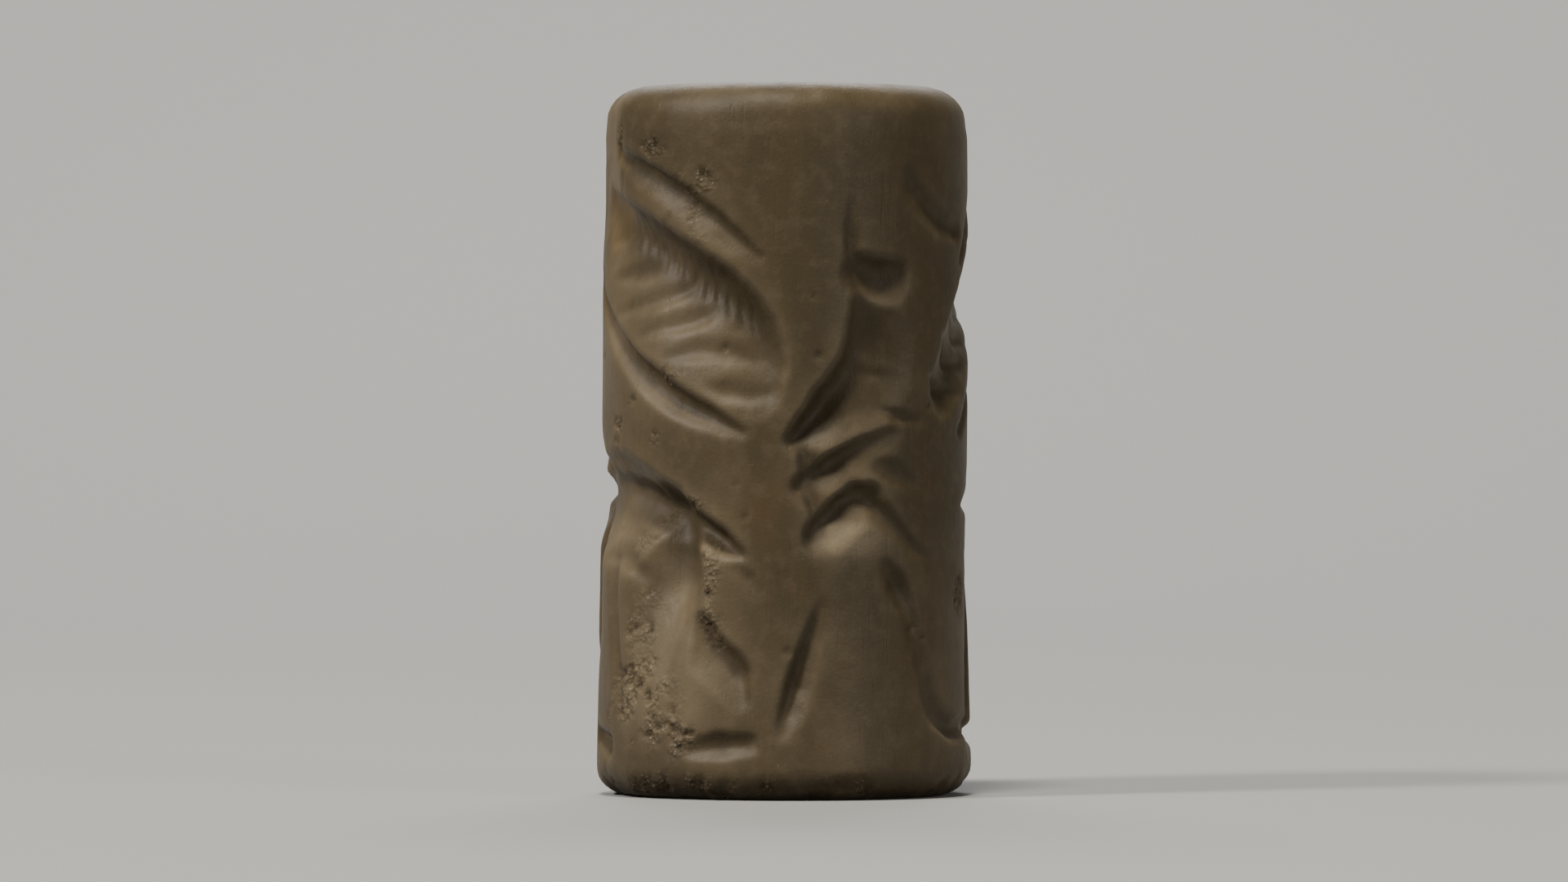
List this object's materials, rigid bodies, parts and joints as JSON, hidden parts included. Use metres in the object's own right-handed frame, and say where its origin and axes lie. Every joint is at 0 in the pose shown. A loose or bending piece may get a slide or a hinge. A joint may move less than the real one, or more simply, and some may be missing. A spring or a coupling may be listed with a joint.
{
  "type": "cylinder seal",
  "caption": "Small dark stone cylinder, drilled through its length, with animals beside a palm tree cut into its wall, for rolling a relief into clay.",
  "frame": {"origin": "centre of the foot, the flat lower end", "axes": "+Z along the seal's axis, up from foot to head; the side with the palm tree and the left frond faces -Y"},
  "size_m": [0.0116, 0.0116, 0.0219],
  "materials": {
    "stone": "dark olive-brown stone, worn to a satin sheen on the plain wall, paler and pitted in patches"
  },
  "bodies": {
    "root": {"seal": "stone"}
  },
  "joints": []
}
